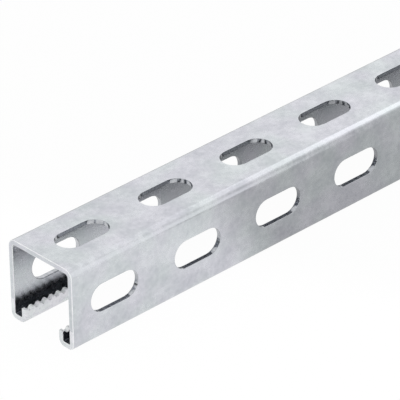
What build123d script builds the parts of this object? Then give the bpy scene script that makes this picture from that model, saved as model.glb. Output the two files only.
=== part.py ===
from build123d import *
import os

# A length of slotted strut channel, cold-formed from one strip of galvanised steel.
# X runs along the channel and Y across it. The channel lies with its web up and its
# open side down, so the flat bottoms of its two lips rest at Z = 0.

# Section, in millimetres
length = 500.0
width = 41.0  # over the outside faces of the flanges
height = 41.0
wall = 2.5  # thickness of the strip
lip_width = 9.5  # from a flange's outside face to the mouth
lip_height = 7.3  # from the bottom of a lip to the free edge of its return
web_bend = 1.7  # inside radius of the two bends beside the web
lip_bend = 0.7  # inside radius of the two bends of each lip

# Slots, the same in the web and in both flanges
slot_length = 28.0
slot_width = 14.0
slot_pitch = 50.0

# Teeth along the free edges of the lips' returns
tooth_pitch = 4.0
tooth_height = 1.2
tooth_tip = 1.2  # flat at the top of a tooth
tooth_root = 1.0  # flat at the bottom of the gap between two teeth
first_gap = 2.9  # from the cut end at -X to the middle of the first gap

# The outside line of the bent strip, from the free edge of one return to the other's
mouth_edge = width / 2 - lip_width
half_outline = [
    (mouth_edge, lip_height),
    (mouth_edge, 0),
    (width / 2, 0),
    (width / 2, height),
]
other_half = [(-across, up) for across, up in reversed(half_outline)]
lip_radius = lip_bend + wall
web_radius = web_bend + wall
bend_radii = [lip_radius, lip_radius, web_radius, web_radius, lip_radius, lip_radius]

# A row of slots, as many as the length holds, with equal ends
slot_row = GridLocations(slot_pitch, 0, int(length // slot_pitch), 1)

# A row of gaps between teeth, counted from the cut end at -X
gap_count = 1 + int((length - first_gap) // tooth_pitch)
gap_row = GridLocations(tooth_pitch, 0, gap_count, 1, align=Align.MIN)
gap_start = first_gap - length / 2
gap_mouth = tooth_pitch - tooth_tip
gap_profile = [
    (-gap_mouth / 2, 0),
    (-tooth_root / 2, -tooth_height),
    (tooth_root / 2, -tooth_height),
    (gap_mouth / 2, 0),
]

with BuildPart() as strut_channel:
    # The section: the outside line, with the strip's thickness laid inside it
    with BuildSketch(Plane.YZ) as section:
        with BuildLine():
            FilletPolyline(*half_outline, *other_half, radius=bend_radii)
            offset(amount=wall, side=Side.LEFT)
        make_face()
    extrude(amount=length / 2, both=True)

    # Slots through the web
    with BuildSketch(Plane.XY.offset(height)):
        with slot_row:
            SlotOverall(slot_length, slot_width)
    extrude(amount=-wall, mode=Mode.SUBTRACT)

    # Slots through both flanges, half way up and in line with those in the web
    with BuildSketch(Plane.XZ.shift_origin((0, 0, height / 2))):
        with slot_row:
            SlotOverall(slot_length, slot_width)
    extrude(amount=width / 2, both=True, mode=Mode.SUBTRACT)

    # Gaps between the teeth, across both returns and out to the middle of each lip
    with BuildSketch(Plane.XZ.shift_origin((gap_start, 0, lip_height))):
        with gap_row:
            Polygon(*gap_profile, align=None)
    extrude(amount=(width - lip_width) / 2, both=True, mode=Mode.SUBTRACT)

strut_channel.part.label = "strut_channel"

os.makedirs("parts", exist_ok=True)
export_step(strut_channel.part, "parts/strut_channel.step")
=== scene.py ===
from math import pi, radians

import bmesh
import bpy
from mathutils import Matrix, Vector


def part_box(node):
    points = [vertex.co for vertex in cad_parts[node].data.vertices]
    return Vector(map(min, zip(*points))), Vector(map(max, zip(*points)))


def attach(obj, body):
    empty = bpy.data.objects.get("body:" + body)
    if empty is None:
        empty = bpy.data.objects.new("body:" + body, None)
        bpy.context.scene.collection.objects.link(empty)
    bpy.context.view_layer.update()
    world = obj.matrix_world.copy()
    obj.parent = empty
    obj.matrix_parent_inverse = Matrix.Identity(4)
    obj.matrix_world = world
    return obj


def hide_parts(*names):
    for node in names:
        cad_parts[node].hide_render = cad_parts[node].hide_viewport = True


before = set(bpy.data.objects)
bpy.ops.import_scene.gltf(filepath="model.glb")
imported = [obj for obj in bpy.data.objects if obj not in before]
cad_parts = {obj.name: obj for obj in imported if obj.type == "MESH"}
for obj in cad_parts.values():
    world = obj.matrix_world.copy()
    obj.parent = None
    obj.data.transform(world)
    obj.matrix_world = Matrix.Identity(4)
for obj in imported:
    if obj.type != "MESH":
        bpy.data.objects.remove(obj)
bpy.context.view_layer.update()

low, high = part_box("strut_channel")

# The formed channel: one strip of steel, roll-formed into a deep C with in-turned, toothed
# lips and punched with slots before it is dipped in zinc. The zinc rounds every sheared edge
# a little: those of the slots, of the teeth and of the cut ends.
WALL = 0.0025
MOUTH_EDGE = 0.011  # from the middle to the inner face of a lip's return
LIP_HEIGHT = 0.0073
TOOTH_HEIGHT = 0.0012
PAINTED_LIGHT_UP = 0.01  # how far up from the lips' bottoms the paler zinc, painted light, reaches
SLOT_REACH = 0.009  # from a slot's middle line to just past its rounded edge
PUNCH_ROUND = 0.0002  # where the punch went in, at the outer edges of the slots
BREAK_ROUND = 0.0004  # where it broke out, at their inner edges
END_ROUND = 0.0003
TOOTH_ROUND = 0.00012
SHARP = radians(35)  # edges that turn by more than this are sheared ones
FLAT = radians(0.5)
SMOOTH = radians(50)
MERGE = 0.000002
ON_PLANE = 0.00001  # anything nearer to a plane than this lies on it
MARGIN = 0.0001

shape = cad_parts["strut_channel"].data.copy()
channel = bpy.data.objects.new("formed_channel", shape)
bpy.context.scene.collection.objects.link(channel)
bpy.ops.object.select_all(action="DESELECT")
bpy.context.view_layer.objects.active = channel
channel.select_set(True)
bpy.ops.object.mode_set(mode="EDIT")
bpy.ops.mesh.select_all(action="SELECT")
bpy.ops.mesh.remove_doubles(threshold=MERGE)
bpy.ops.mesh.dissolve_limited(angle_limit=FLAT)
bpy.ops.object.mode_set(mode="OBJECT")

worked = bmesh.new()
worked.from_mesh(shape)
ends = [face for face in worked.faces if high.x - abs(face.calc_center_median().x) < ON_PLANE]
end_parts = dict.fromkeys(part for face in ends for part in (face, *face.edges, *face.verts))
bmesh.ops.bisect_plane(
    worked,
    geom=list(end_parts),
    dist=MERGE,
    plane_co=(0, 0, PAINTED_LIGHT_UP),
    plane_no=(0, 0, 1),
)
weight = worked.edges.layers.float.new("bevel_weight_edge")
for edge in worked.edges:
    middle = (edge.verts[0].co + edge.verts[1].co) / 2
    if edge.calc_face_angle(0) < SHARP:
        continue
    if high.x - abs(middle.x) < ON_PLANE:
        edge_round = END_ROUND
    elif abs(middle.y) < MOUTH_EDGE + WALL + ON_PLANE and middle.z < LIP_HEIGHT + MARGIN:
        edge_round = TOOTH_ROUND
    elif min(high.z - middle.z, high.y - abs(middle.y)) < ON_PLANE:
        edge_round = PUNCH_ROUND
    else:
        edge_round = BREAK_ROUND
    edge[weight] = edge_round / BREAK_ROUND
worked.to_mesh(shape)
worked.free()

rounding = channel.modifiers.new("rounding", "BEVEL")
rounding.limit_method = "WEIGHT"
rounding.width = BREAK_ROUND
rounding.segments = 2
rounding.use_clamp_overlap = False
bpy.ops.object.modifier_apply(modifier="rounding")
bpy.ops.object.shade_smooth_by_angle(angle=SMOOTH)
flat_faces = channel.modifiers.new("flat_faces", "WEIGHTED_NORMAL")
flat_faces.keep_sharp = True
bpy.ops.object.modifier_apply(modifier="flat_faces")


def linear(hex_colour):
    """An sRGB hex colour as linear red, green, blue and alpha."""
    parts = [int(hex_colour[i : i + 2], 16) / 255 for i in (1, 3, 5)]
    return [c / 12.92 if c < 0.04045 else ((c + 0.055) / 1.055) ** 2.4 for c in parts] + [1]


def add(material, kind, settings=None, **inputs):
    """A node of this kind. An input, such as Scale or _3 for the fourth, is a value or a socket to link."""
    node = material.node_tree.nodes.new(kind)
    for name, value in (settings or {}).items():
        setattr(node, name, value)
    for name, value in inputs.items():
        socket = node.inputs[int(name[1:])] if name[1:].isdigit() else node.inputs[name.replace("_", " ")]
        if isinstance(value, bpy.types.NodeSocket):
            material.node_tree.links.new(value, socket)
        else:
            socket.default_value = value
    return node


BAND = (0.35, 0.65)  # where nearly all values of a noise pattern lie
CRYSTAL_SHARE = 0.36
BLOOM = ("#FCFFFD", "#FEFCFF")  # faintly green to faintly lilac


def zinc_skin(name, cloud, crystal, dark, pale, smooth, rough, metal=1.0):
    """A zinc mottled with soft clouds and finer crystals, between two colours and roughnesses."""
    skin = bpy.data.materials.new(name)
    skin.use_nodes = True
    skin.node_tree.nodes.clear()
    place = add(skin, "ShaderNodeTexCoord").outputs["Object"]
    clouds = add(skin, "ShaderNodeTexNoise", Vector=place, Scale=1 / cloud, Detail=4.0, Roughness=0.55)
    crystals = add(skin, "ShaderNodeTexNoise", Vector=place, Scale=1 / crystal, Detail=2.0, Roughness=0.5)
    mottle = add(
        skin,
        "ShaderNodeMix",
        {"data_type": "FLOAT"},
        _0=CRYSTAL_SHARE,
        _2=clouds.outputs["Fac"],
        _3=crystals.outputs["Fac"],
    )
    colour = add(skin, "ShaderNodeValToRGB", Fac=mottle.outputs[0])
    for stop, at, shade in zip(colour.color_ramp.elements, BAND, (dark, pale)):
        stop.position = at
        stop.color = linear(shade)
    haze = add(skin, "ShaderNodeTexNoise", Vector=place, Scale=0.6 / cloud, Detail=1.0)
    bloom = add(skin, "ShaderNodeValToRGB", Fac=haze.outputs["Fac"])
    for stop, at, shade in zip(bloom.color_ramp.elements, (0.38, 0.62), BLOOM):
        stop.position = at
        stop.color = linear(shade)
    tinted = add(
        skin,
        "ShaderNodeMix",
        {"data_type": "RGBA", "blend_type": "MULTIPLY"},
        _0=1.0,
        _6=colour.outputs["Color"],
        _7=bloom.outputs["Color"],
    )
    gloss = add(skin, "ShaderNodeMapRange", _0=mottle.outputs[0], _1=BAND[0], _2=BAND[1], _3=smooth, _4=rough)
    relief = add(skin, "ShaderNodeBump", Height=mottle.outputs[0], Strength=0.12, Distance=0.0003)
    steel = add(
        skin,
        "ShaderNodeBsdfPrincipled",
        Base_Color=tinted.outputs[2],
        Metallic=metal,
        Roughness=gloss.outputs["Result"],
        Normal=relief.outputs["Normal"],
    )
    add(skin, "ShaderNodeOutputMaterial", Surface=steel.outputs["BSDF"])
    return skin


# Hot-dip galvanised steel: a skin of zinc over the whole channel. To the eye it is a pale,
# slightly blue grey, half matt, with soft clouds a centimetre across where the zinc froze and
# a faint bloom between green and lilac.
zinc = zinc_skin("hot_dip_galvanised_steel", 0.011, 0.0022, "#C3C6CB", "#DCDEE2", 0.19, 0.32)

# Paler zinc over the lips beside the mouth and their cut ends: painted light, a lighter colour that
# stands in for the light these faces catch. To the eye it is paler than the rest, with finer spots.
painted_lit_zinc = zinc_skin("zinc_painted_lighter", 0.005, 0.0014, "#D9DBDF", "#F2F3F4", 0.25, 0.36)

# Painted highlight on the sheared teeth and along the rims of the cut ends: a nearly white, dull
# zinc that stands in for the light these edges catch, so that the teeth show against the dark
# groove and the rims show as thin bright lines.
painted_highlight = zinc_skin("zinc_painted_highlight_on_edges", 0.003, 0.001, "#E2E3E6", "#FAFAFB", 0.35, 0.5, metal=0.1)

# Painted shade in the grooves behind the returns: a dull dark grey zinc that stands in for the
# shade there, so the grooves look black next to the bright flanges.
painted_groove_shade = zinc_skin("zinc_painted_shade_in_groove", 0.008, 0.002, "#5F6267", "#7D8085", 0.3, 0.42)

# Sheared steel: the walls that the punch left in the slots, thinly dipped. To the eye they are
# smoother than the rolled faces, almost mirrors, with fine streaks through the strip. Their grey is
# darker than the zinc's, partly for the sheared steel and partly painted shade inside the slots.
STREAK = 0.0008
DRAWN = (1.0, 0.2, 0.2)  # streaks five times as long across the strip as along the channel
sheared = bpy.data.materials.new("sheared_slot_wall")
sheared.use_nodes = True
sheared.node_tree.nodes.clear()
place = add(sheared, "ShaderNodeTexCoord").outputs["Object"]
drawn_out = add(sheared, "ShaderNodeVectorMath", {"operation": "MULTIPLY"}, _0=place, _1=DRAWN)
streaks = add(
    sheared,
    "ShaderNodeTexNoise",
    Vector=drawn_out.outputs["Vector"],
    Scale=1 / STREAK,
    Detail=2.0,
    Roughness=0.5,
).outputs["Fac"]
# The darker grey of the walls is partly painted shade inside the slots.
tint = add(sheared, "ShaderNodeValToRGB", Fac=streaks)
for stop, at, shade in zip(tint.color_ramp.elements, BAND, ("#A9ACB1", "#C9CBCF")):
    stop.position = at
    stop.color = linear(shade)
grain = add(sheared, "ShaderNodeMapRange", _0=streaks, _1=BAND[0], _2=BAND[1], _3=0.1, _4=0.2)
scored = add(sheared, "ShaderNodeBump", Height=streaks, Strength=0.1, Distance=0.0001)
wall = add(
    sheared,
    "ShaderNodeBsdfPrincipled",
    Base_Color=tint.outputs["Color"],
    Metallic=1.0,
    Roughness=grain.outputs["Result"],
    Normal=scored.outputs["Normal"],
)
add(sheared, "ShaderNodeOutputMaterial", Surface=wall.outputs["BSDF"])

coats = [zinc, painted_lit_zinc, painted_highlight, painted_groove_shade, sheared]
channel.data.materials.clear()
for finish in coats:
    channel.data.materials.append(finish)
for face in channel.data.polygons:
    x, y, z = face.center
    from_end = high.x - abs(x)
    down = high.z - z
    aside = high.y - abs(y)
    behind = abs(y) - MOUTH_EDGE
    off_middle = abs(z - high.z / 2)
    through_web = PUNCH_ROUND / 2 < down < WALL - ON_PLANE and abs(y) < SLOT_REACH
    through_flange = PUNCH_ROUND / 2 < aside < WALL - ON_PLANE and off_middle < SLOT_REACH
    at_end = from_end < ON_PLANE
    below_teeth = z < LIP_HEIGHT - TOOTH_HEIGHT - MARGIN
    mouth_side = behind < ON_PLANE or below_teeth and behind < WALL - MARGIN
    groove_side = min(z, behind, aside) > WALL - ON_PLANE
    # Painted highlight: the rims of the cut ends get the nearly white zinc.
    if not at_end and from_end < END_ROUND:
        coat = painted_highlight
    elif not at_end and (through_web or through_flange):
        coat = sheared
    elif z > PAINTED_LIGHT_UP:
        coat = zinc
    # Painted light: the paler zinc goes on the lips beside the mouth and on the cut ends low down.
    elif at_end or mouth_side:
        coat = painted_lit_zinc
    # Painted shade: the faces inside the grooves get the dark grey zinc.
    elif groove_side:
        coat = painted_groove_shade
    # Painted highlight: the teeth get the nearly white zinc.
    elif not below_teeth and behind < WALL:
        coat = painted_highlight
    else:
        coat = zinc
    face.material_index = coats.index(coat)
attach(channel, "root")
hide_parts("strut_channel")

# The floor: a plain pale sheet of board that the channel lies on. It shows white to the
# camera and keeps a soft, faint shadow. The channel's faces show it brighter before the cut
# end at -X than behind it, and from below it isn't seen.
FLOOR = 40.0
SHADE_FROM, SHADE_TO = -0.17, -0.125  # where the floor turns from bright to shaded
SHADED = 0.6
WHITE_SHARE = 0.97  # the rest takes the shadow
GLOSSY_SHARE = 0.7
EASED = {"interpolation_type": "SMOOTHSTEP"}
bpy.ops.mesh.primitive_plane_add(size=FLOOR, location=(0, 0, 0))
floor = bpy.context.object
floor.name = "floor"
board = bpy.data.materials.new("matt_white_board")
board.use_nodes = True
board.node_tree.nodes.clear()
path = add(board, "ShaderNodeLightPath").outputs
shown = add(
    board,
    "ShaderNodeMath",
    {"operation": "ADD"},
    _0=path["Is Camera Ray"],
    _1=path["Is Transmission Ray"],
).outputs[0]
place = add(board, "ShaderNodeTexCoord").outputs["Object"]
along = add(board, "ShaderNodeVectorMath", {"operation": "DOT_PRODUCT"}, _0=place, _1=(1, 0.38, 0))
tone = add(
    board,
    "ShaderNodeMapRange",
    EASED,
    _0=along.outputs["Value"],
    _1=SHADE_FROM,
    _2=SHADE_TO,
    _3=1.0,
    _4=SHADED,
).outputs["Result"]
lit = add(board, "ShaderNodeBsdfDiffuse", Color=tone)
glow = add(board, "ShaderNodeMath", {"operation": "MAXIMUM"}, _0=tone, _1=shown)
white = add(board, "ShaderNodeEmission", Color=linear("#FFFFFF"), Strength=glow.outputs[0])
glossy = add(board, "ShaderNodeMath", {"operation": "MULTIPLY"}, _0=path["Is Glossy Ray"], _1=GLOSSY_SHARE)
share = add(
    board,
    "ShaderNodeMath",
    {"operation": "MULTIPLY_ADD"},
    _0=shown,
    _1=WHITE_SHARE,
    _2=glossy.outputs[0],
)
mixed = add(board, "ShaderNodeMixShader", _0=share.outputs[0], _1=lit.outputs[0], _2=white.outputs[0])
side = add(board, "ShaderNodeNewGeometry").outputs["Backfacing"]
clear = add(board, "ShaderNodeBsdfTransparent")
surface = add(board, "ShaderNodeMixShader", _0=side, _1=mixed.outputs[0], _2=clear.outputs[0])
add(board, "ShaderNodeOutputMaterial", Surface=surface.outputs[0])
floor.data.materials.append(board)

# The studio: an even pale surround, white to the camera, and two soft boxes. The channel's
# faces show the surround bright, and dim only low down beyond the cut end at -X. Each pair
# below says where a change in brightness starts and ends, by the direction looked in.
SIDEWAYS = (-0.1, 0.4)
UPWARD = (0.08, 0.28)
FORWARD = (0.62, 0.85)
DIM = 0.04
DIM_FORWARD = 0.62
world = bpy.data.worlds.new("studio")
bpy.context.scene.world = world
world.use_nodes = True
world.node_tree.nodes.clear()
path = add(world, "ShaderNodeLightPath").outputs
shown = add(
    world,
    "ShaderNodeMath",
    {"operation": "ADD"},
    _0=path["Is Camera Ray"],
    _1=path["Is Transmission Ray"],
).outputs[0]
towards = add(world, "ShaderNodeTexCoord").outputs["Generated"]
side = add(world, "ShaderNodeVectorMath", {"operation": "DOT_PRODUCT"}, _0=towards, _1=(1, 0, 0))
beyond = add(
    world,
    "ShaderNodeMapRange",
    EASED,
    _0=side.outputs["Value"],
    _1=SIDEWAYS[0],
    _2=SIDEWAYS[1],
    _3=DIM,
    _4=1.0,
)
height = add(world, "ShaderNodeSeparateXYZ", Vector=towards).outputs["Z"]
above = add(world, "ShaderNodeMapRange", EASED, _0=height, _1=UPWARD[0], _2=UPWARD[1], _3=0.0, _4=1.0)
open_sky = add(
    world,
    "ShaderNodeMath",
    {"operation": "MAXIMUM"},
    _0=beyond.outputs["Result"],
    _1=above.outputs["Result"],
)
front = add(world, "ShaderNodeVectorMath", {"operation": "DOT_PRODUCT"}, _0=towards, _1=(0.5, -0.86, 0))
before = add(
    world,
    "ShaderNodeMapRange",
    EASED,
    _0=front.outputs["Value"],
    _1=FORWARD[0],
    _2=FORWARD[1],
    _3=1.0,
    _4=DIM_FORWARD,
)
graded = add(
    world,
    "ShaderNodeMath",
    {"operation": "MULTIPLY"},
    _0=open_sky.outputs[0],
    _1=before.outputs["Result"],
)
matt = add(
    world,
    "ShaderNodeMix",
    {"data_type": "FLOAT"},
    _0=path["Is Glossy Ray"],
    _2=1.0,
    _3=graded.outputs[0],
)
level = add(world, "ShaderNodeMix", {"data_type": "FLOAT"}, _0=shown, _2=matt.outputs[0], _3=1.0)
sky = add(world, "ShaderNodeBackground", Color=linear("#FFFFFF"), Strength=level.outputs[0])
add(world, "ShaderNodeOutputWorld", Surface=sky.outputs[0])


def soft_box(name, place, aim, size, watts):
    """A rectangular lamp at this place, turned to face aim, that the camera doesn't see."""
    lamp = bpy.data.lights.new(name, "AREA")
    lamp.shape = "RECTANGLE"
    lamp.size, lamp.size_y = size
    lamp.energy = watts
    lamp_object = bpy.data.objects.new(name, lamp)
    bpy.context.scene.collection.objects.link(lamp_object)
    lamp_object.location = place
    lamp_object.rotation_euler = (Vector(aim) - Vector(place)).to_track_quat("-Z", "Y").to_euler()
    lamp_object.visible_camera = False


soft_box("box_top", (0.67, 0.09, 0.67), (0.67, 0.09, 0), (0.64, 0.7), 0.8)
soft_box("box_front", (0.0, -0.35, 0.22), (0.0, 0, 0.22), (0.26, 0.44), 0.2)

# The camera: a long lens that looks down on the cut end at -X, turned and placed by a fit to
# the corners of the section and the slots in the photograph.
FRAME_PX = 400
FOCAL_PX = 4152.6
END_PX = Vector((40.9, 294.7))  # where the middle of the cut end shows, from the top left
AZIMUTH = radians(226.95)
ELEVATION = radians(31.07)
ROLL = radians(-0.98)
DISTANCE = 1.812
turn = Matrix.Rotation(AZIMUTH + pi / 2, 3, "Z") @ Matrix.Rotation(pi / 2 - ELEVATION, 3, "X")
turn = turn @ Matrix.Rotation(ROLL, 3, "Z")
end_middle = Vector((low.x, 0, (low.z + high.z) / 2))
metres_a_pixel = DISTANCE / FOCAL_PX
across = (FRAME_PX / 2 - END_PX.x) * metres_a_pixel
up = (END_PX.y - FRAME_PX / 2) * metres_a_pixel
lens = bpy.data.cameras.new("camera")
lens.sensor_width = 36
lens.lens = FOCAL_PX / FRAME_PX * lens.sensor_width
lens.clip_end = 100
camera = bpy.data.objects.new("camera", lens)
bpy.context.scene.collection.objects.link(camera)
camera.location = end_middle + turn @ Vector((across, up, DISTANCE))
camera.rotation_euler = turn.to_euler()
bpy.context.scene.camera = camera
bpy.context.scene.view_settings.view_transform = "Standard"
